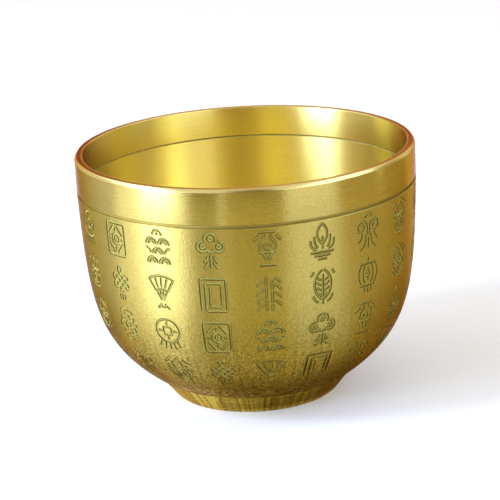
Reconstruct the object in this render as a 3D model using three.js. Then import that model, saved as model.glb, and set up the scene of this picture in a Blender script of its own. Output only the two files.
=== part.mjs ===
// A small turned brass bowl on a tapered foot, in millimetres, +Z up.
// It stands on z = 0 with its axis on the Z axis. Three turned pieces make it:
// the bowl's body, a rim band that drops over a spigot on the body's top edge,
// and a foot ring that fits round a boss under the floor.
import * as THREE from 'three';

// Overall sizes
const overallHeight = 64.2;
const rimRadius = 43;
const wall = 2.1;
const turnedFacets = 72;

// Rim band and the stepped seat that it drops over
const bandHeight = 8.75;
const grooveHeight = 0.7;
const grooveDepth = 0.6;
const spigotRise = 1.55;
const bandFit = 0.1;
const lipChamferWidth = 0.6;
const lipChamferHeight = 0.8;
const edgeBreak = 0.15;
const seamBreak = 0.4;

// Side of the bowl: one smooth curve from the shoulder to the foot
const sideLean = 1;
const sideHandle = 30;
const bellyHandle = 17.8;
const bellyAngle = THREE.MathUtils.degToRad(36.9);
const sideSteps = 18;

// Floor of the bowl, and the boss that locates the foot
const floorThickness = 2.8;
const floorStart = 0.8;
const floorSteps = 6;
const bossDepth = 0.8;
const bossFit = 0.1;

// Foot ring
const footHeight = 5.7;
const footTopRadius = 25.9;
const footBottomRadius = 21.9;
const footSeatWidth = 3.6;
const footWall = 2.6;
const footStep = 0.5;
const footBoreDepth = 1.1;
const footChamfer = 0.4;

// Heights and radii that follow from the sizes above
const bandBottom = overallHeight - bandHeight;
const shoulderHeight = bandBottom - grooveHeight;
const spigotTop = shoulderHeight + spigotRise;
const spigotRadius = rimRadius - grooveDepth;
const innerRadius = rimRadius - wall;
const bodyFootRadius = footTopRadius + footStep;
const footBoreRadius = footTopRadius - footSeatWidth;
const bossRadius = footBoreRadius - bossFit;
const bossHeight = footHeight - bossDepth;
const floorHeight = bossHeight + floorThickness;

const point = (radius, height) => new THREE.Vector2(radius, height);

// Outer side of the bowl, from the shoulder down to the foot
function outerSide() {
  const shoulder = point(rimRadius, shoulderHeight - edgeBreak);
  const foot = point(bodyFootRadius, footHeight);
  const sideControl = point(rimRadius - sideLean, shoulderHeight - sideHandle);
  const bellyControl = point(
    bodyFootRadius + bellyHandle * Math.cos(bellyAngle),
    footHeight + bellyHandle * Math.sin(bellyAngle),
  );
  return new THREE.CubicBezierCurve(shoulder, sideControl, bellyControl, foot);
}

// Inner side: the outer side moved in by the wall, as far down as the floor's hollow
function innerSide(side) {
  const points = [];
  for (let i = 1; i <= sideSteps; i++) {
    const t = (floorStart * i) / sideSteps;
    const tangent = side.getTangent(t);
    points.push(side.getPoint(t).add(point(tangent.y, -tangent.x).multiplyScalar(wall)));
  }
  return points;
}

// The hollow that turns the inner side into the flat floor
function floorHollow(side, start) {
  const tangent = side.getTangent(floorStart);
  const run = (start.y - floorHeight) / -tangent.y;
  const corner = start.clone().addScaledVector(tangent, run);
  const end = point(corner.x - run, floorHeight);
  return new THREE.QuadraticBezierCurve(start, corner, end).getPoints(floorSteps);
}

function bowlOutline() {
  const side = outerSide();
  const inner = innerSide(side);
  const hollow = floorHollow(side, inner[inner.length - 1]);
  return [
    point(0, bossHeight),
    point(bossRadius, bossHeight),
    point(bossRadius, footHeight),
    ...side.getPoints(sideSteps).reverse(),
    point(rimRadius - edgeBreak, shoulderHeight),
    point(spigotRadius, shoulderHeight),
    point(spigotRadius, spigotTop),
    point(innerRadius + seamBreak, spigotTop),
    point(innerRadius, spigotTop - seamBreak),
    ...inner,
    ...hollow.slice(1),
    point(0, floorHeight),
  ];
}

function rimOutline() {
  const counterbore = spigotRadius + bandFit;
  return [
    point(innerRadius, spigotTop),
    point(counterbore, spigotTop),
    point(counterbore, bandBottom),
    point(rimRadius - edgeBreak, bandBottom),
    point(rimRadius, bandBottom + edgeBreak),
    point(rimRadius, overallHeight - lipChamferHeight),
    point(rimRadius - lipChamferWidth, overallHeight),
    point(innerRadius + edgeBreak, overallHeight),
    point(innerRadius, overallHeight - edgeBreak),
    point(innerRadius, spigotTop),
  ];
}

function footOutline() {
  const bottomBore = footBottomRadius - footWall;
  return [
    point(footBoreRadius, footHeight),
    point(footBoreRadius, footHeight - footBoreDepth),
    point(bottomBore, footChamfer),
    point(bottomBore + footChamfer, 0),
    point(footBottomRadius - footChamfer, 0),
    point(footBottomRadius, footChamfer),
    point(footTopRadius, footHeight - edgeBreak),
    point(footTopRadius - edgeBreak, footHeight),
    point(footBoreRadius, footHeight),
  ];
}

// One turned piece, spun round the Z axis
function turned(name, outline, color, roughness) {
  const geometry = new THREE.LatheGeometry(outline, turnedFacets).rotateX(Math.PI / 2);
  const material = new THREE.MeshStandardMaterial({ color, roughness, metalness: 1 });
  const mesh = new THREE.Mesh(geometry, material);
  mesh.name = name;
  return mesh;
}

const bowl = new THREE.Group();
bowl.add(turned('bowl_body', bowlOutline(), 0xc9ad55, 0.34));
bowl.add(turned('rim_band', rimOutline(), 0xcfb45c, 0.28));
bowl.add(turned('foot_ring', footOutline(), 0xb99a45, 0.4));

export default bowl;
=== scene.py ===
# A turned brass bowl with an engraved side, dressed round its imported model.
import math

import bmesh
import bpy
import numpy as np
from mathutils import Matrix, Vector
from mathutils.geometry import interpolate_bezier


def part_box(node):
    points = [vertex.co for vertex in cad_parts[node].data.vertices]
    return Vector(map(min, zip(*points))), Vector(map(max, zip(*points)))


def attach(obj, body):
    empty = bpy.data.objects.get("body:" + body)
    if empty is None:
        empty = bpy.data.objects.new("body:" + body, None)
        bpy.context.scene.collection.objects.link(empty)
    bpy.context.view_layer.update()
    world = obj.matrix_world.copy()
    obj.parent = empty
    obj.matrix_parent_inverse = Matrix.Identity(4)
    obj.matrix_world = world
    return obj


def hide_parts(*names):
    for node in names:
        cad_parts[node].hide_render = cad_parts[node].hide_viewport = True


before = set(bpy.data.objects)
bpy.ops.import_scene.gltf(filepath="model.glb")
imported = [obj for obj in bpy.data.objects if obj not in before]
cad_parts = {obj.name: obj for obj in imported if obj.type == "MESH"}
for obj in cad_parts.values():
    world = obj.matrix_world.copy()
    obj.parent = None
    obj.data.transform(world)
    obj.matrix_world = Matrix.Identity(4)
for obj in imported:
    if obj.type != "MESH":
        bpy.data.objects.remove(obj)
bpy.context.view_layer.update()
print("frame loaded:", ", ".join(sorted(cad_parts)))

mm = 0.001  # meshes are modelled in millimetres and scaled to metres at the end
wholeBody = "root"  # nothing moves, so every piece rides on the one body
girth = {"segments": 360, "seam": -183.5}  # the seam lies between two engraved columns, at the back

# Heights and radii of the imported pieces, in millimetres
bowlBox, rimBox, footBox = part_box("bowl_body"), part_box("rim_band"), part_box("foot_ring")
rimRadius = rimBox[1].x / mm
rimTop = rimBox[1].z / mm
bandBottom = rimBox[0].z / mm
spigotTop = bowlBox[1].z / mm
bossHeight = bowlBox[0].z / mm
footRadius = footBox[1].x / mm
footHeight = footBox[1].z / mm


# Brass finishes. Their depths and heights are in metres, as the finished meshes are.

plainFinish = {  # what a finish has unless it says otherwise: no darkening low down, and no belt above the floor
    "spread": 0.03, "anisotropy": 0, "coat": 0.1, "around": 60, "lineDepth": 0.000002,
    "lowShadeAndTarnish": (0.43, 0.32, 0.08), "lowShadeAndTarnishShare": 0, "lowShadeAndTarnishHeights": (0, 0.001), "wipes": 55, "wiped": 0,
    "belt": (-0.002, -0.001),
    "edgeReflectionTint": (0.60, 0.34, 0.22),  # painted reflection: the brass turns coppery where it curves away, standing in for reddish surroundings
}
# Low down, a finish darkens towards a colour of its own: partly tarnish, partly painted shade.
finishes = {
    "satin": {  # the bowl's side: satin finish, its brass darker than the polished inside's, partly as painted shade for the dim surroundings it reflects
        "colour": (0.59, 0.455, 0.112), "deep": (0.50, 0.375, 0.086), "roughness": 0.36, "anisotropy": 0.88,
        "brushed": 0.15, "lines": 5200, "grain": 2300, "grainDepth": 0.000042,
        "lowShadeAndTarnish": (0.132, 0.074, 0.003), "lowShadeAndTarnishShare": 0.95, "lowShadeAndTarnishHeights": (0.004, 0.042),
        "wipes": 34, "wiped": 0.18, "belt": (0.0075, 0.0105),
    },
    "etched": {  # bottoms of the engraved grooves
        "colour": (0.58, 0.55, 0.16), "deep": (0.48, 0.44, 0.12), "roughness": 0.85, "coat": 0,
        "brushed": 0, "around": 3000, "lines": 3000, "grain": 5200, "grainDepth": 0.000015,
        "lowShadeAndTarnish": (0.22, 0.16, 0.03), "lowShadeAndTarnishShare": 0.75, "lowShadeAndTarnishHeights": (0.006, 0.032), "wiped": 0.3,
    },
    "shadedBank": {  # banks of the engraved grooves, painted dark as shade inside the grooves
        "colour": (0.22, 0.165, 0.030), "deep": (0.16, 0.11, 0.018), "roughness": 0.50, "coat": 0,
        "brushed": 0, "around": 3000, "lines": 3000, "grain": 5200, "grainDepth": 0.00001,
        "lowShadeAndTarnish": (0.10, 0.055, 0.010), "lowShadeAndTarnishShare": 0.8, "lowShadeAndTarnishHeights": (0.006, 0.030), "wiped": 0.3,
    },
    "recess": {  # the groove under the rim band, and the band's seat, in brass a little darker than the side: painted shade in the groove
        "colour": (0.46, 0.37, 0.09), "deep": (0.40, 0.31, 0.07), "roughness": 0.55, "coat": 0,
        "brushed": 0.5, "lines": 3600, "grain": 3000, "grainDepth": 0.000006,
    },
    "turned": {  # the inside of the bowl and of the band
        "colour": (0.91, 0.77, 0.24), "deep": (0.86, 0.71, 0.19), "roughness": 0.33, "spread": 0.015,
        "anisotropy": 0.93, "brushed": 0.6, "around": 30, "lines": 3600, "lineDepth": 0.000003,
        "grain": 2600, "grainDepth": 0.000009,
    },
    "crisp": {  # the outside of the band: brass darker than the polished inside's, partly as painted shade for the dim surroundings it reflects
        "colour": (0.615, 0.473, 0.126), "deep": (0.515, 0.391, 0.095), "roughness": 0.26, "anisotropy": 0.90,
        "brushed": 0.3, "around": 50, "lines": 6000, "grain": 2600, "grainDepth": 0.000022,
    },
    "lip": {  # the polished top of the band, lighter than the band's side: partly polish, partly painted light on the chamfer
        "colour": (0.75, 0.61, 0.225), "deep": (0.68, 0.53, 0.18), "roughness": 0.22, "spread": 0.02,
        "coat": 0.2, "brushed": 0.5, "lines": 6000, "lineDepth": 0.000001, "grain": 3000,
        # a redder edge tint here: more painted reflection of reddish surroundings
        "grainDepth": 0.000006, "edgeReflectionTint": (0.71, 0.35, 0.15),
    },
    "foot": {
        "colour": (0.87, 0.70, 0.163), "deep": (0.54, 0.405, 0.06), "roughness": 0.36, "spread": 0.05,
        "anisotropy": 0.7, "brushed": 0.5, "lines": 3000, "lineDepth": 0.000004, "grain": 2300,
        "grainDepth": 0.000025, "lowShadeAndTarnish": (0.14, 0.078, 0.014), "lowShadeAndTarnishShare": 0.42,
        "lowShadeAndTarnishHeights": (0.003, 0.018), "wipes": 24, "wiped": 0.95,
    },
}
wear = {  # each range is the part of a noise that counts, and the pair after it is what its ends give
    "toneRange": (0.35, 0.65), "patches": (1.25, 0.55), "roughRange": (0.3, 0.7),
    "wipeRange": (0.38, 0.62), "wipeRoughness": 0.65,
    "ridgesAround": 950, "ridgeLines": 2000,  # broken turning lines, in the belt just above the foot
    # the belt above the foot darkens towards near-black brown: partly stain, partly painted shade
    "ridgeRange": (0.40, 0.62), "glints": (0.3, -0.75), "beltShadeAndStain": (0.085, 0.034, 0.003),
}
highlightTurn = 0.25  # of a whole turn, so that highlights spread across the turning lines


def setInputs(tree, node, inputs):
    for socket, value in inputs.items():
        if isinstance(value, bpy.types.NodeSocket):
            tree.links.new(value, node.inputs[socket])
        else:
            node.inputs[socket].default_value = value


def addNode(tree, kind, inputs, **settings):
    node = tree.nodes.new(kind)
    for name, value in settings.items():
        setattr(node, name, value)
    setInputs(tree, node, inputs)
    return node.outputs


def compute(tree, operation, *values, clamp=False):
    return addNode(tree, "ShaderNodeMath", dict(enumerate(values)), operation=operation, use_clamp=clamp)[0]


def mapRange(tree, value, taken, given=(0, 1), shape="LINEAR"):
    return addNode(tree, "ShaderNodeMapRange", {
        "Value": value, "From Min": taken[0], "From Max": taken[1], "To Min": given[0], "To Max": given[1],
    }, interpolation_type=shape)[0]


# A Mix node has its sockets by number: 0 is the share, 2 and 3 are two values, and 6 and 7 two colours.
def mixValues(tree, share, first, second):
    return addNode(tree, "ShaderNodeMix", {0: share, 2: first, 3: second})[0]


def mixColours(tree, share, first, second):
    return addNode(tree, "ShaderNodeMix", {0: share, 6: first, 7: second}, data_type="RGBA")[2]


def opaque(colour):
    return (*colour, 1)


def noise(tree, place, scale, detail, roughness=0.5):
    return addNode(tree, "ShaderNodeTexNoise", {
        "Vector": place, "Scale": scale, "Detail": detail, "Roughness": roughness,
    })[0]


def turningNoise(tree, turned, around, lines, detail):
    stretch = (around, around, lines)
    stretched = addNode(tree, "ShaderNodeVectorMath", {0: turned, 1: stretch}, operation="MULTIPLY")[0]
    return noise(tree, stretched, 1, detail)


def brass(name):
    finish = {**plainFinish, **finishes[name]}
    material = bpy.data.materials.new(name + "_brass")
    material.use_nodes = True
    tree = material.node_tree

    # Coordinates that follow the turning: height and radius together, so that level faces have lines too
    place = addNode(tree, "ShaderNodeTexCoord", {})["Object"]
    parts = addNode(tree, "ShaderNodeSeparateXYZ", {0: place})
    flat = addNode(tree, "ShaderNodeCombineXYZ", {"X": parts["X"], "Y": parts["Y"]})[0]
    radius = addNode(tree, "ShaderNodeVectorMath", {0: flat}, operation="LENGTH")["Value"]
    heading = addNode(tree, "ShaderNodeVectorMath", {0: flat}, operation="NORMALIZE")[0]
    outline = compute(tree, "ADD", parts["Z"], radius)
    turned = addNode(tree, "ShaderNodeCombineXYZ", {"X": parts["X"], "Y": parts["Y"], "Z": outline})[0]

    # Fresh metal: turning lines and grain
    streaks = turningNoise(tree, turned, finish["around"], finish["lines"], 2)
    grain = noise(tree, place, finish["grain"], 1)
    tone = mapRange(tree, mixValues(tree, finish["brushed"], grain, streaks), wear["toneRange"])
    fresh = mixColours(tree, tone, opaque(finish["deep"]), opaque(finish["colour"]))

    # Darker low down, in patches and wiped streaks: partly tarnish, partly painted shade where the side turns
    # down to the floor, deepest in a belt of stained ridges above the foot
    lowShadeAndTarnishAmount = mapRange(tree, parts["Z"], finish["lowShadeAndTarnishHeights"], (finish["lowShadeAndTarnishShare"], 0), "SMOOTHSTEP")
    belt = mapRange(tree, parts["Z"], finish["belt"], (1, 0), "SMOOTHSTEP")
    ridges = turningNoise(tree, turned, wear["ridgesAround"], wear["ridgeLines"], 1)
    spots = mixValues(tree, belt, grain, ridges)
    patches = mapRange(tree, spots, wear["toneRange"], wear["patches"])
    wipes = noise(tree, heading, finish["wipes"], 4, wear["wipeRoughness"])
    wiping = mapRange(tree, wipes, wear["wipeRange"], (1 + finish["wiped"], 1 - finish["wiped"]))
    worn = compute(tree, "MULTIPLY", patches, wiping)
    glints = compute(tree, "MULTIPLY", belt, mapRange(tree, ridges, wear["ridgeRange"], wear["glints"]))
    darkening = compute(tree, "MULTIPLY_ADD", lowShadeAndTarnishAmount, worn, glints, clamp=True)
    lowShadeAndTarnish = mixColours(tree, belt, opaque(finish["lowShadeAndTarnish"]), opaque(wear["beltShadeAndStain"]))

    smoothest, roughest = finish["roughness"] - finish["spread"], finish["roughness"] + finish["spread"]
    lineBump = addNode(tree, "ShaderNodeBump", {"Height": streaks, "Distance": finish["lineDepth"]})[0]
    grainBump = addNode(tree, "ShaderNodeBump", {
        "Height": spots, "Distance": finish["grainDepth"], "Normal": lineBump,
    })[0]
    setInputs(tree, tree.nodes["Principled BSDF"], {
        "Base Color": mixColours(tree, darkening, fresh, lowShadeAndTarnish),
        "Metallic": 1,
        "Roughness": mapRange(tree, streaks, wear["roughRange"], (smoothest, roughest)),
        "Normal": grainBump,
        # the edge tint is painted reflection of reddish surroundings where the brass curves away
        "Specular Tint": opaque(finish["edgeReflectionTint"]),
        "Anisotropic": finish["anisotropy"],
        "Anisotropic Rotation": highlightTurn,
        "Tangent": addNode(tree, "ShaderNodeTangent", {}, direction_type="RADIAL", axis="Z")[0],
        "Coat Weight": finish["coat"],
        "Coat Roughness": finish["roughness"],
    })
    return material


brasses = {name: brass(name) for name in finishes}
print("brass finishes made:", len(brasses))


# Turned shapes

turning = {  # welds in millimetres, angles in degrees
    "weld": 0.001, "seamWeld": 0.01, "bevelAbove": 25, "bevelSteps": 3, "smoothBelow": 30,
}


def meshFrom(bm, name):
    mesh = bpy.data.meshes.new(name)
    bm.to_mesh(mesh)
    bm.free()
    return mesh


def addObject(name, data):
    made = bpy.data.objects.new(name, data)
    bpy.context.scene.collection.objects.link(made)
    return made


def spunOutline(outline, finishIndex=0):
    seam = math.radians(girth["seam"])
    across = Vector((math.sin(seam), -math.cos(seam), 0))
    bm = bmesh.new()
    verts = [bm.verts.new(across * radius + Vector((0, 0, height))) for radius, height in outline]
    edges = [bm.edges.new(ends) for ends in zip(verts, verts[1:])]
    bmesh.ops.spin(
        bm, geom=verts + edges, cent=(0, 0, 0), axis=(0, 0, 1), angle=2 * math.pi,
        steps=girth["segments"], use_merge=True,
    )
    bmesh.ops.remove_doubles(bm, verts=bm.verts[:], dist=turning["weld"])
    for face in bm.faces:
        face.material_index = finishIndex
    return bm


def joinMeshes(parts):
    whole = bmesh.new()
    for bm in parts:
        mesh = meshFrom(bm, "part")
        whole.from_mesh(mesh)
        bpy.data.meshes.remove(mesh)
    edge = [vert for vert in whole.verts if vert.is_boundary]
    bmesh.ops.remove_doubles(whole, verts=edge, dist=turning["seamWeld"])
    bmesh.ops.recalc_face_normals(whole, faces=whole.faces[:])
    return whole


def softenEdges(bm, width):
    inner = [edge for edge in bm.edges if edge.is_manifold]
    sharp = [edge for edge in inner if math.degrees(edge.calc_face_angle()) > turning["bevelAbove"]]
    bmesh.ops.bevel(
        bm, geom=sharp, offset=width, affect="EDGES", segments=turning["bevelSteps"], profile=0.5,
        material=-1, clamp_overlap=True,
    )


def finishPiece(bm, name, finishNames, nodes):
    bmesh.ops.scale(bm, vec=(mm, mm, mm), verts=bm.verts[:])
    mesh = meshFrom(bm, name)
    for finish in finishNames:
        mesh.materials.append(brasses[finish])
    mesh.shade_smooth()
    mesh.set_sharp_from_angle(angle=math.radians(turning["smoothBelow"]))
    piece = addObject(name, mesh)
    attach(piece, wholeBody)
    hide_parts(*nodes)
    triangles = sum(len(face.vertices) - 2 for face in mesh.polygons)
    print(name, "made:", len(mesh.vertices), "points,", triangles, "triangles")


# Engraved motifs. A stroke is a start, a heading and the moves of the cutter from there: a number is a
# straight run, and a pair is a turn of that radius through that angle. All are in millimetres and degrees,
# about the motif's middle.

def trail(x, y, heading, *moves):
    return (x, y, heading, moves)


def bar(x0, y0, x1, y1):
    heading = math.degrees(math.atan2(y1 - y0, x1 - x0))
    return trail(x0, y0, heading, math.hypot(x1 - x0, y1 - y0))


def bow(x, y, radius, begin, sweep):
    angle = math.radians(begin)
    heading = begin + math.copysign(90, sweep)
    return trail(x + radius * math.cos(angle), y + radius * math.sin(angle), heading, (radius, sweep))


def ring(x, y, radius):
    return bow(x, y, radius, 90, 360)


def spoke(x, y, angle, near, far):
    east, north = math.cos(math.radians(angle)), math.sin(math.radians(angle))
    return bar(x + near * east, y + near * north, x + far * east, y + far * north)


def loop(x, y, wide, tall, corner=0.45, turn=0):
    angle = math.radians(turn)
    half, run, bend = wide / 2 - corner, tall - 2 * corner, (corner, 90)
    x, y = x + tall / 2 * math.sin(angle), y - tall / 2 * math.cos(angle)
    return trail(x, y, turn, half, bend, run, bend, 2 * half, bend, run, bend, half)


def flip(stroke):
    x, y, heading, moves = stroke
    mirrored = [(move[0], -move[1]) if isinstance(move, tuple) else move for move in moves]
    return trail(-x, y, 180 - heading, *mirrored)


def pair(*strokes):
    return [each for stroke in strokes for each in (stroke, flip(stroke))]


def fret(wide, tall, pitch, corner=0.45):
    spans = [tall] + [span - pitch * turn for turn in range(4) for span in (wide, tall)]
    moves = [spans[0] - corner]
    for span in spans[1:-1]:
        moves += [(corner, -90), span - 2 * corner]
    return [trail(-wide / 2, -tall / 2, 90, *moves, (corner, -90), spans[-1] - corner)]


def coin():
    studs = [spoke(0, 0.9, angle, 1.65, 2.45) for angle in (0, 90, 180, 270)]
    tails = pair(bar(1.1, -2.6, 1.5, -4.2), bar(2.2, -2.1, 2.9, -3.6))
    return [ring(0, 0.9, 3.2), loop(0, 0.9, 2.1, 2.1), bar(0, -2.7, 0, -4.3), *studs, *tails]


def gourd():
    sash = pair(trail(1.0, 0.45, 20, 0.9, (0.7, -150), 0.5))
    vine = pair(trail(1.9, 3.8, -60, (2.4, 40), 0.1), trail(2.5, 1.7, -100, 0.5))
    belly = [ring(0, -1.95, 2.3), ring(0, -1.95, 1.2), ring(0, -1.95, 0.42)]
    return [ring(0, 1.95, 1.3), bar(0, 3.5, 0.7, 4.4), *belly, *sash, *vine]


def cloud():
    curls = pair(trail(0.4, -1.0, 90, 1.9, (1.5, -180), (1.0, -180), (0.5, -100)))
    rain = pair(trail(0.9, -1.3, -90, 0.8, (2.4, 50), 0.9), trail(2.1, -0.9, -90, (1.6, 50), 0.6))
    return [bow(0, 2.9, 1.2, 25, 130), bar(0, -1.9, 0, -4.3), *curls, *rain]


def lantern():
    ribs = pair(bow(-0.9, 0.2, 4.0, -38, 76), bow(-2.5, 0.2, 4.2, -32, 64))
    plates = [bar(-2.2, 3.0, 2.2, 3.0), bar(-2.2, -2.6, 2.2, -2.6)]
    tassel = [bar(0, 3.6, 0, 4.4), bar(0, -3.2, 0, -4.4), *pair(bar(1.1, -3.2, 1.1, -4.2))]
    return [*ribs, *plates, *tassel, bar(0, 1.8, 0, 1.2), ring(0, 0.2, 0.5), bar(0, -0.8, 0, -1.4)]


def vase():
    sides = pair(trail(0.85, 3.4, -90, 0.6, (0.7, 50), (2.3, -95), (3.0, 15), 0.4, (0.9, 50)))
    bands = [bar(-1.7, 4.1, 1.7, 4.1), bar(-1.9, -0.9, 1.9, -0.9), bar(-1.9, -4.1, 1.9, -4.1)]
    return [*sides, *bands, ring(0, 0.5, 0.75), *pair(trail(2.2, 3.3, -80, (1.5, 60), 0.1))]


def window():
    slats = pair(bar(0.7, 3.3, 2.4, 1.2), bar(2.4, -1.2, 0.7, -3.3), bar(1.95, 0, 2.4, 0))
    hub = [ring(0, 0, 1.25), ring(0, 0, 0.42), bar(0, 2.1, 0, 2.7), bar(0, -2.1, 0, -2.7)]
    return [loop(0, 0, 6.4, 8.2, 0.7), *slats, *hub]


def lotus():
    petals = pair(
        bow(1.75, 1.9, 3.05, 125, 110),
        trail(1.2, -1.3, 35, (1.9, 50), 1.3),
        trail(1.7, -1.8, 10, (1.6, 75), 0.8),
    )
    water = [bar(-2.9, -2.6, 2.9, -2.6), bar(-2.0, -3.45, 2.0, -3.45), bar(-1.1, -4.3, 1.1, -4.3)]
    return [*petals, bar(0, 1.2, 0, -1.7), *water]


def bamboo():
    tallCane = [bar(-0.7, -4.3, -0.7, -1.7), bar(-0.7, -1.0, -0.7, 1.5), bar(-0.7, 2.2, -0.7, 4.3)]
    lowCane = [bar(0.7, -4.3, 0.7, -2.9), bar(0.7, -2.2, 0.7, 0.3), bar(0.7, 1.0, 0.7, 3.3)]
    right = [trail(1.35, height, -20, (2.4, -30), 0.75) for height in (3.9, 2.2, 0.2, -1.9)]
    left = [flip(trail(1.35, height, -20, (2.4, -30), 0.75)) for height in (3.3, 1.0, -1.0, -2.9)]
    return [*tallCane, *lowCane, *right, *left]


def waves():
    low = [pair(bow(1.7, height, radius, 0, 180)) for height in (-4.0, 0.8) for radius in (1.45, 0.7)]
    middle = [bow(0, -1.6, radius, 0, 180) for radius in (1.45, 0.7)]
    ends = pair(bow(3.4, -1.6, 1.45, 98, 75))
    return [*sum(low, []), *middle, *ends, bow(0, 3.1, 1.2, 0, 180), bar(0, 3.1, 0, 3.6)]


def lozenge():
    corners = pair(bar(1.7, 3.8, 3.1, 2.4), bar(1.7, -3.8, 3.1, -2.4), bar(2.4, 0, 3.2, 0))
    tips = [bar(0, 2.9, 0, 1.9), bar(0, -2.9, 0, -1.9)]
    return [loop(0, 1.3, 4, 4, 0.4, 45), loop(0, -1.3, 4, 4, 0.4, 45), ring(0, 0, 0.5), *tips, *corners]


def leaf():
    veins = pair(*[bar(0.55, height, 0.55 + reach, height + 0.8 * reach)
                   for height, reach in ((1.6, 0.8), (0.3, 1.05), (-1.0, 0.95), (-2.2, 0.65))])
    rest = pair(bow(2.4, 0.5, 4.6, 126, 108), trail(1.2, -3.9, 20, (2.0, 50), 0.4), bar(2.4, 3.9, 3.0, 3.0))
    return [bar(0, 3.0, 0, -4.4), *veins, *rest]


def fan():
    leafRibs = [spoke(0, -2.6, angle, 3.9, 6.1) for angle in (75, 90, 105)]
    handle = [spoke(0, -2.6, angle, 0.6, 2.7) for angle in (62, 81, 99, 118)]
    edges = [bow(0, -2.6, 6.7, 60, 60), bow(0, -2.6, 3.3, 60, 60), *pair(spoke(0, -2.6, 60, 3.3, 6.7))]
    return [*edges, *leafRibs, *handle, bow(0, -3.4, 0.6, 160, 220), *pair(bar(0.9, -3.7, 1.6, -4.3))]


def rosette():
    petals = []
    for angle in range(0, 360, 45):
        east, north = math.cos(math.radians(angle)), math.sin(math.radians(angle))
        petals.append(bow(2.25 * east, 2.25 * north, 0.8, angle - 110, 220))
    sprigs = pair(*[trail(0.4, 4.2 * way, 0, 0.6, (1.3, -50 * way), 0.5) for way in (1, -1)])
    return [ring(0, 0, 0.9), *petals, *sprigs]


def mushroom():
    top = [bow(0, 2.8, 1.4, -25, 230), ring(0, 2.8, 0.45)]
    lobes = pair(bow(1.95, 0.9, 1.3, -150, 240), ring(1.95, 0.9, 0.45))
    roots = pair(*[trail(0.75, height, -90, (1.6, 60), 0.2) for height in (-1.5, -2.9)])
    return [*top, *lobes, bow(0, 0.2, 0.75, 190, 160), bar(0, -1.3, 0, -4.3), *roots]


def knot():
    step, half, middle = 1.0, 1.55, 0.4
    cords = [bar(x - half, middle - x - half, x + half, middle - x + half) for x in (-step, 0, step)]
    ends = pair(bow(2.05, 1.45, 0.7, -45, 180), bow(2.05, -0.65, 0.7, -135, 180), bar(0.9, -3.2, 0.9, -4.2))
    return [*pair(*cords), bow(0, 3.6, 0.6, -30, 240), bar(0, -3.0, 0, -4.4), *ends]


motifs = [
    fret(6.2, 8.3, 1.15), lotus(), coin(), bamboo(), cloud(), window(), leaf(), gourd(),
    waves(), lantern(), knot(), mushroom(), lozenge(), fan(), vase(), rosette(),
]
print("motifs drawn:", len(motifs), "with", sum(map(len, motifs)), "strokes")


# Engraved side. It is cut flat, as a thin slab whose X runs round the girth and whose Y runs down the side,
# and then wrapped on the side's curve.

engraving = {  # millimetres; across and down are the steps through the motifs, column by column and row by row
    "columns": 20, "rows": 4, "firstRow": 5.1, "rowPitch": 11.35, "across": 3, "down": 5,
    "halfWidth": 0.36, "draft": 0.14, "depth": 0.22, "lift": 0.10, "tip": 0.20, "tipShare": 0.5,
    "chordError": 0.015, "fewestSteps": 2, "bottomSlope": 0.7, "slab": 1.0, "rings": 48,
}


def onlyFace(geometry):
    return next(item for item in geometry if isinstance(item, bmesh.types.BMFace))


def startCutter(bm, spot, turn):
    half, depth = engraving["halfWidth"], engraving["depth"]
    draft, lift = engraving["draft"], engraving["lift"]
    flare = draft * lift / depth
    corners = [(-half - flare, lift), (draft - half, -depth), (half - draft, -depth), (half + flare, lift)]
    face = bm.faces.new([bm.verts.new((0, across, height)) for across, height in corners])
    bmesh.ops.transform(
        bm, matrix=Matrix.Translation(spot) @ Matrix.Rotation(turn, 4, "Z"), verts=face.verts[:],
    )
    return face


def runCutter(bm, face, spot, turn, distance):
    face = onlyFace(bmesh.ops.extrude_face_region(bm, geom=[face])["geom"])
    step = Vector((math.cos(turn), math.sin(turn), 0)) * distance
    bmesh.ops.translate(bm, verts=face.verts[:], vec=step)
    return face, spot + step


def turnCutter(bm, face, spot, turn, radius, degrees):
    sweep = math.radians(degrees)
    centre = spot + Vector((-math.sin(turn), math.cos(turn), 0)) * math.copysign(radius, sweep)
    chord = 2 * math.acos(1 - engraving["chordError"] / radius)
    steps = max(engraving["fewestSteps"], math.ceil(abs(sweep) / chord))
    spun = bmesh.ops.spin(bm, geom=[face], cent=centre, axis=(0, 0, 1), angle=sweep, steps=steps)
    spot = centre + Matrix.Rotation(sweep, 3, "Z") @ (spot - centre)
    return onlyFace(spun["geom_last"]), spot, turn + sweep


def narrowCutter(bm, face, spot, turn, share):
    space = (Matrix.Translation(spot) @ Matrix.Rotation(turn, 4, "Z")).inverted()
    bmesh.ops.scale(bm, vec=(1, share, share), space=space, verts=face.verts[:])


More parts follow.
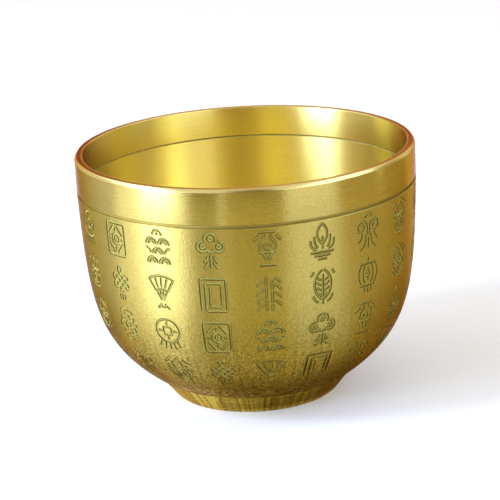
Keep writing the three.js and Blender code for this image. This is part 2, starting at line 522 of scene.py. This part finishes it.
def cutterMesh(stroke):
    x, y, heading, moves = stroke
    bm = bmesh.new()
    spot, turn = Vector((x, y, 0)), math.radians(heading)
    closed = abs(sum(move[1] for move in moves if isinstance(move, tuple))) == 360
    tip, tipShare = engraving["tip"], engraving["tipShare"]
    if not closed:
        spot = spot - Vector((math.cos(turn), math.sin(turn), 0)) * tip
    face = startCutter(bm, spot, turn)
    inside = [face] if closed else []  # faces that the next move leaves inside the cutter
    if not closed:
        narrowCutter(bm, face, spot, turn, tipShare)
        face, spot = runCutter(bm, face, spot, turn, tip)
        narrowCutter(bm, face, spot, turn, 1 / tipShare)
    for move in moves:
        inside.append(face)
        if isinstance(move, tuple):
            face, spot, turn = turnCutter(bm, face, spot, turn, *move)
        else:
            face, spot = runCutter(bm, face, spot, turn, move)
    inside.append(face)
    if not closed:
        face, spot = runCutter(bm, face, spot, turn, tip)
        narrowCutter(bm, face, spot, turn, tipShare)
    bmesh.ops.delete(bm, geom=list(set(inside)), context="FACES_ONLY")
    bmesh.ops.remove_doubles(bm, verts=bm.verts[:], dist=turning["weld"])
    bmesh.ops.recalc_face_normals(bm, faces=bm.faces[:])
    # groove bottoms get the etched finish, and banks the dark one: painted shade in the grooves
    bottom, bank = bowl["finishes"].index("etched"), bowl["finishes"].index("shadedBank")
    for face in bm.faces:
        face.material_index = bottom if face.normal.z < -engraving["bottomSlope"] else bank
    return meshFrom(bm, "stroke")


bowl = {  # millimetres and degrees
    "wall": 2.1, "grooveHeight": 0.7, "grooveDepth": 0.6, "edgeBreak": 0.15, "seamBreak": 0.4,
    "sideLean": 1.0, "sideHandle": 30.0, "bellyHandle": 17.8, "bellyAngle": 36.9,
    "footStep": 0.5, "footSeat": 3.7, "floorThickness": 2.8, "floorStart": 0.8, "samples": 800,
    "innerSteps": 32, "floorSteps": 14, "finishes": ["satin", "etched", "shadedBank", "recess", "turned"],
}
shoulderHeight = bandBottom - bowl["grooveHeight"]
bowlFootRadius = footRadius + bowl["footStep"]
bellyAngle = math.radians(bowl["bellyAngle"])
bellyWay = Vector((math.cos(bellyAngle), math.sin(bellyAngle)))
sideKnots = [
    Vector((rimRadius, shoulderHeight - bowl["edgeBreak"])),
    Vector((rimRadius - bowl["sideLean"], shoulderHeight - bowl["sideHandle"])),
    Vector((bowlFootRadius, footHeight)) + bowl["bellyHandle"] * bellyWay,
    Vector((bowlFootRadius, footHeight)),
]
side = np.array(interpolate_bezier(*sideKnots, bowl["samples"] + 1))
sideTangent = np.gradient(side, axis=0)
sideTangent /= np.linalg.norm(sideTangent, axis=1)[:, None]
sideRun = np.concatenate([[0], np.cumsum(np.linalg.norm(np.diff(side, axis=0), axis=1))])
girthLength = 2 * math.pi * rimRadius


def flatSlab():
    bm = bmesh.new()
    bmesh.ops.create_grid(bm, x_segments=girth["segments"], y_segments=engraving["rings"], size=0.5)
    bmesh.ops.translate(bm, verts=bm.verts[:], vec=(0.5, -0.5, 0))
    bmesh.ops.scale(bm, vec=(girthLength, sideRun[-1], 1), verts=bm.verts[:])
    back = bmesh.ops.extrude_face_region(bm, geom=bm.faces[:])["geom"]
    back = [item for item in back if isinstance(item, bmesh.types.BMVert)]
    bmesh.ops.translate(bm, verts=back, vec=(0, 0, -engraving["slab"]))
    bmesh.ops.recalc_face_normals(bm, faces=bm.faces[:])
    return cuttingObject(bm, "flat_side")


def cuttingObject(bm, name):
    mesh = meshFrom(bm, name)
    for finish in bowl["finishes"][:3]:  # the three that the engraved side shows
        mesh.materials.append(brasses[finish])
    return addObject(name, mesh)


def motifPlaces():
    columns, rows = engraving["columns"], engraving["rows"]
    for column in range(columns):
        for row in range(rows):
            run = engraving["firstRow"] + row * engraving["rowPitch"]
            widen = rimRadius / np.interp(run, sideRun, side[:, 0])  # the girth narrows down the side
            place = Matrix.Translation(((column + 0.5) * girthLength / columns, -run, 0))
            choice = (column * engraving["across"] + row * engraving["down"]) % len(motifs)
            yield choice, place @ Matrix.Diagonal((widen, 1, 1, 1))


def cutterLayers():
    strokes = [[cutterMesh(stroke) for stroke in motif] for motif in motifs]
    for layer in range(max(map(len, strokes))):  # a motif's strokes may cross, so each layer has one of them
        bm = bmesh.new()
        for choice, place in motifPlaces():
            if layer < len(strokes[choice]):
                stroke = strokes[choice][layer].copy()
                stroke.transform(place)
                bm.from_mesh(stroke)
                bpy.data.meshes.remove(stroke)
        yield cuttingObject(bm, "cutters")
    for mesh in sum(strokes, []):
        bpy.data.meshes.remove(mesh)


def engravedSlab():
    slab = flatSlab()
    cutters = list(cutterLayers())
    for cutter in cutters:
        cut = slab.modifiers.new("cut", "BOOLEAN")
        cut.operation = "DIFFERENCE"
        cut.solver = "MANIFOLD"
        cut.object = cutter
    depsgraph = bpy.context.evaluated_depsgraph_get()
    mesh = bpy.data.meshes.new_from_object(slab.evaluated_get(depsgraph))
    for spent in [slab, *cutters]:
        bpy.data.objects.remove(spent)
    return mesh


def wrapOnSide(mesh):
    flat = np.empty(3 * len(mesh.vertices))
    mesh.vertices.foreach_get("co", flat)
    along, down, out = flat.reshape(-1, 3).T
    radius, height, slopeOut, slopeUp = (
        np.interp(-down, sideRun, values) for values in (*side.T, *sideTangent.T)
    )
    radius, height = radius - slopeUp * out, height + slopeOut * out
    angle = math.radians(girth["seam"]) + along / rimRadius
    wrapped = np.stack([radius * np.sin(angle), -radius * np.cos(angle), height], axis=1)
    mesh.vertices.foreach_set("co", wrapped.ravel())


def engravedSide():
    mesh = engravedSlab()
    bm = bmesh.new()
    bm.from_mesh(mesh)
    middle = -engraving["slab"] / 2
    back = [face for face in bm.faces if any(vert.co.z < middle for vert in face.verts)]
    bmesh.ops.delete(bm, geom=back, context="FACES")
    bm.to_mesh(mesh)
    bm.free()
    wrapOnSide(mesh)
    bm = bmesh.new()
    bm.from_mesh(mesh)
    bpy.data.meshes.remove(mesh)
    print("side engraved:", len(bm.faces), "faces")
    return bm


def innerOutline():
    last = round(bowl["floorStart"] * bowl["samples"])
    picks = np.linspace(0, last, bowl["innerSteps"] + 1).astype(int)
    inward = np.stack([sideTangent[:, 1], -sideTangent[:, 0]], axis=1) * bowl["wall"]
    inner = [Vector(point) for point in (side + inward)[picks[1:]]]
    floorHeight = bossHeight + bowl["floorThickness"]
    start, heading = inner[-1], Vector(sideTangent[last])
    run = (start.y - floorHeight) / -heading.y
    corner = start + heading * run
    end = Vector((corner.x - run, floorHeight))
    knots = [start, start.lerp(corner, 2 / 3), end.lerp(corner, 2 / 3), end]  # rounds the corner
    hollow = interpolate_bezier(*knots, bowl["floorSteps"])
    return inner + hollow[1:] + [Vector((0, floorHeight))]


def makeBowlBody():
    spigotRadius = rimRadius - bowl["grooveDepth"]
    innerRadius = rimRadius - bowl["wall"]
    bossRadius = footRadius - bowl["footSeat"]
    bm = joinMeshes([
        engravedSide(),
        spunOutline([sideKnots[3], (bossRadius, footHeight), (bossRadius, bossHeight), (0, bossHeight)]),
        spunOutline([sideKnots[0], (rimRadius - bowl["edgeBreak"], shoulderHeight)]),
        spunOutline([
            (rimRadius - bowl["edgeBreak"], shoulderHeight), (spigotRadius, shoulderHeight),
            (spigotRadius, spigotTop), (innerRadius + bowl["seamBreak"], spigotTop),
            (innerRadius, spigotTop - bowl["seamBreak"]),
        ], bowl["finishes"].index("recess")),
        spunOutline([
            (innerRadius, spigotTop - bowl["seamBreak"]), *innerOutline(),
        ], bowl["finishes"].index("turned")),
    ])
    finishPiece(bm, "engraved_bowl", bowl["finishes"], ["bowl_body"])


makeBowlBody()


# Rim band

rim = {  # millimetres
    "lipWidth": 0.6, "lipHeight": 0.8, "edgeBreak": 0.15, "counterbore": 0.5, "soften": 0.07,
    "insideReach": 0.01, "finishes": ["crisp", "turned", "lip"],
}


def makeRimBand():
    innerRadius = rimRadius - bowl["wall"]
    counterbore = rimRadius - rim["counterbore"]
    outline = [
        (innerRadius, spigotTop), (counterbore, spigotTop), (counterbore, bandBottom),
        (rimRadius - rim["edgeBreak"], bandBottom), (rimRadius, bandBottom + rim["edgeBreak"]),
        (rimRadius, rimTop - rim["lipHeight"]), (rimRadius - rim["lipWidth"], rimTop),
        (innerRadius + rim["edgeBreak"], rimTop), (innerRadius, rimTop - rim["edgeBreak"]),
        (innerRadius, spigotTop),
    ]
    bm = joinMeshes([spunOutline(outline)])
    chamferFoot = rimTop - rim["lipHeight"]
    for face in bm.faces:
        middle = face.calc_center_median()
        if middle.xy.length < innerRadius + rim["insideReach"]:
            face.material_index = rim["finishes"].index("turned")
        elif middle.z > chamferFoot:
            face.material_index = rim["finishes"].index("lip")
    softenEdges(bm, rim["soften"])
    finishPiece(bm, "lipped_rim", rim["finishes"], ["rim_band"])


makeRimBand()


# Foot ring

foot = {  # millimetres
    "bottomRadius": 21.9, "seatWidth": 3.6, "wall": 2.6, "boreDepth": 1.1, "chamfer": 0.4, "edgeBreak": 0.15,
    "soften": 0.07,
}


def makeFootRing():
    boreRadius = footRadius - foot["seatWidth"]
    bottomBore = foot["bottomRadius"] - foot["wall"]
    chamfer = foot["chamfer"]
    outline = [
        (boreRadius, footHeight), (boreRadius, footHeight - foot["boreDepth"]), (bottomBore, chamfer),
        (bottomBore + chamfer, 0), (foot["bottomRadius"] - chamfer, 0), (foot["bottomRadius"], chamfer),
        (footRadius, footHeight - foot["edgeBreak"]), (footRadius - foot["edgeBreak"], footHeight),
        (boreRadius, footHeight),
    ]
    bm = joinMeshes([spunOutline(outline)])
    softenEdges(bm, foot["soften"])
    finishPiece(bm, "tapered_foot", ["foot"], ["foot_ring"])


makeFootRing()


# Studio, in metres and degrees: pale floor, white surroundings, soft boxes, and cards that the brass
# reflects. The flags stand, the aprons lie on the floor, and none of them shows to the camera.

studio = {
    "floorRadius": 1.6, "floorSides": 96, "floorColour": (0.94, 0.91, 0.85), "floorRoughness": 0.9,
    "floorGlow": 0.13, "ambient": 0.85, "boxColour": (0.78, 1.0, 1.62), "aim": 0.035,
    "apronLift": 0.0005, "apronSteps": 16,
}
softBoxes = {  # azimuth from the camera's side, elevation, distance, width, height, brightness
    "keyBox": (-59, 10, 0.62, 0.265, 0.22, 12.4),
    "highBox": (-70.5, 32, 0.66, 0.17, 0.24, 19.0),
    "fillBox": (40, 10, 0.62, 0.34, 0.22, 0.4),
    "highFillBox": (42, 32, 0.66, 0.36, 0.24, 2.0),
    "leftLipBox": (-92, 42, 0.70, 0.72, 0.22, 1.6),
    "rightLipBox": (74, 44, 0.70, 0.54, 0.24, 1.5),
}
flags = {  # azimuth, distance, width, lowest and highest edge, colour
    "frontFlag": (4, 0.22, 0.14, 0.03, 0.20, (0.33, 0.27, 0.11)),
    "nearFlag": (-26.5, 0.22, 0.075, 0.03, 0.20, (0.23, 0.195, 0.085)),
    "rightFlag": (89, 0.25, 0.31, 0.03, 0.20, (0.37, 0.29, 0.11)),
    # streakFlag's colour is above one, so it gives back more light than reaches it: a painted light strip that
    # the band reflects as a streak
    "streakFlag": (90, 0.235, 0.012, 0.03, 0.20, (1.45, 1.45, 1.00)),
    "backLeftFlag": (-163, 0.99, 0.40, 0.08, 0.44, (0.48, 0.07, 0.02)),
    "backRightFlag": (163, 0.99, 0.40, 0.08, 0.44, (0.48, 0.07, 0.02)),
    "highFlag": (3, 0.24, 0.15, 0.20, 0.46, (0.22, 0.15, 0.03)),
    "farFlag": (196, 0.60, 0.40, 0.30, 0.90, (0.25, 0.17, 0.03)),
}
# The aprons are painted reflections: sheets that only the brass reflects, standing in for shaded and tinted
# floor near the bowl, which neither light nor shade the floor.
aprons = {  # azimuth, spread, nearest and furthest edge, colour
    "frontApron": (4, 36, 0.055, 0.60, (0.66, 0.55, 0.21)),
    "nearApron": (-26.5, 19, 0.055, 0.60, (0.53, 0.46, 0.19)),
    "rightApron": (92, 70, 0.055, 0.60, (0.66, 0.52, 0.20)),
    "leftApron": (-118, 56, 0.055, 0.60, (0.55, 0.55, 0.62)),
    "gapApron": (40, 35, 0.055, 0.19, (0.80, 0.82, 0.72)),
    "footApron": (52, 96, 0.0225, 0.034, (0.49, 0.38, 0.12)),
    "footEndApron": (-4, 16, 0.0225, 0.034, (0.60, 0.485, 0.20)),
    "footTurnApron": (-20, 16, 0.0225, 0.034, (0.82, 0.73, 0.44)),
    "bellyApron": (48, 90, 0.034, 0.055, (0.94, 0.78, 0.30)),
    "bellyEndApron": (-12, 30, 0.034, 0.055, (0.94, 0.82, 0.44)),
}


def raysSeenDirectly(tree):
    rays = addNode(tree, "ShaderNodeLightPath", {})
    shown = compute(tree, "MAXIMUM", rays["Is Camera Ray"], rays["Is Glossy Ray"])
    return compute(tree, "MAXIMUM", shown, rays["Is Transmission Ray"])


def makeWorld():
    world = bpy.data.worlds.new("white_studio")
    bpy.context.scene.world = world
    world.use_nodes = True
    tree = world.node_tree
    setInputs(tree, tree.nodes["Background"], {
        "Color": (1, 1, 1, 1),
        "Strength": mapRange(tree, raysSeenDirectly(tree), (0, 1), (studio["ambient"], 1)),
    })


def makeFloor():
    bm = bmesh.new()
    bmesh.ops.create_circle(bm, cap_ends=True, radius=studio["floorRadius"], segments=studio["floorSides"])
    mesh = meshFrom(bm, "floor")
    material = bpy.data.materials.new("pale_floor")
    material.use_nodes = True
    tree = material.node_tree
    setInputs(tree, tree.nodes["Principled BSDF"], {
        "Base Color": opaque(studio["floorColour"]),
        "Roughness": studio["floorRoughness"],
        "Emission Color": (1, 1, 1, 1),
        "Emission Strength": compute(tree, "MULTIPLY", raysSeenDirectly(tree), studio["floorGlow"]),
    })
    mesh.materials.append(material)
    floor = addObject("floor", mesh)


def rotation(degrees, axis):
    return Matrix.Rotation(math.radians(degrees), 4, axis)


def makeSoftBox(name, azimuth, elevation, distance, width, height, brightness):
    lamp = bpy.data.lights.new(name, "AREA")
    lamp.shape = "RECTANGLE"
    lamp.size = width
    lamp.size_y = height
    lamp.energy = brightness * math.pi * width * height
    lamp.color = studio["boxColour"]
    box = addObject(name, lamp)
    turn = rotation(azimuth, "Z") @ rotation(90 - elevation, "X")
    box.matrix_world = Matrix.Translation((0, 0, studio["aim"])) @ turn @ Matrix.Translation((0, 0, distance))
    box.visible_camera = False


def cardFrom(bm, name, colour):
    mesh = meshFrom(bm, name)
    material = bpy.data.materials.new(name)
    material.use_nodes = True
    tree = material.node_tree
    setInputs(tree, tree.nodes["Principled BSDF"], {"Base Color": opaque(colour), "Roughness": 1})
    mesh.materials.append(material)
    card = addObject(name, mesh)
    card.visible_camera = False
    return card


def makeFlag(name, azimuth, distance, width, lowest, highest, colour):
    bm = bmesh.new()
    bmesh.ops.create_grid(bm, x_segments=1, y_segments=1, size=0.5)
    bmesh.ops.scale(bm, vec=(width, highest - lowest, 1), verts=bm.verts[:])
    card = cardFrom(bm, name, colour)
    angle = math.radians(azimuth)
    place = (distance * math.sin(angle), -distance * math.cos(angle), (lowest + highest) / 2)
    card.matrix_world = Matrix.Translation(place) @ rotation(azimuth, "Z") @ rotation(90, "X")


def makeApron(name, azimuth, spread, nearest, furthest, colour):
    bm = bmesh.new()
    ends = [bm.verts.new((0, -distance, studio["apronLift"])) for distance in (nearest, furthest)]
    edge = bm.edges.new(ends)
    begin = rotation(azimuth - spread / 2, "Z").to_3x3()
    bmesh.ops.rotate(bm, cent=(0, 0, 0), matrix=begin, verts=ends)
    bmesh.ops.spin(
        bm, geom=[*ends, edge], cent=(0, 0, 0), axis=(0, 0, 1), angle=math.radians(spread),
        steps=studio["apronSteps"],
    )
    card = cardFrom(bm, name, colour)
    # painted reflection only: the floor takes no light from it and lies in none of its shadow
    card.visible_diffuse = False
    card.visible_shadow = False


makeWorld()
makeFloor()
for name, placing in softBoxes.items():
    makeSoftBox(name, *placing)
for name, placing in flags.items():
    makeFlag(name, *placing)
for name, placing in aprons.items():
    makeApron(name, *placing)
print("studio set")


# Camera, where the photograph was taken from

view = {  # distance is from the middle of the rim; metres and degrees, lens and sensor in millimetres
    "distance": 0.473, "elevation": 14.178, "tilt": 17.44, "roll": -3.081,
    "lens": 134.57, "sensor": 36, "nearest": 0.01,
}


def makeCamera():
    camera = addObject("camera", bpy.data.cameras.new("camera"))
    camera.data.lens = view["lens"]
    camera.data.sensor_width = view["sensor"]
    camera.data.clip_start = view["nearest"]
    elevation = math.radians(view["elevation"])
    rimMiddle = Vector((0, 0, rimTop * mm))
    place = rimMiddle + view["distance"] * Vector((0, -math.cos(elevation), math.sin(elevation)))
    look = rotation(90 - view["tilt"], "X") @ rotation(view["roll"], "Z")
    camera.matrix_world = Matrix.Translation(place) @ look
    bpy.context.scene.camera = camera


makeCamera()
bpy.context.scene.view_settings.view_transform = "Standard"
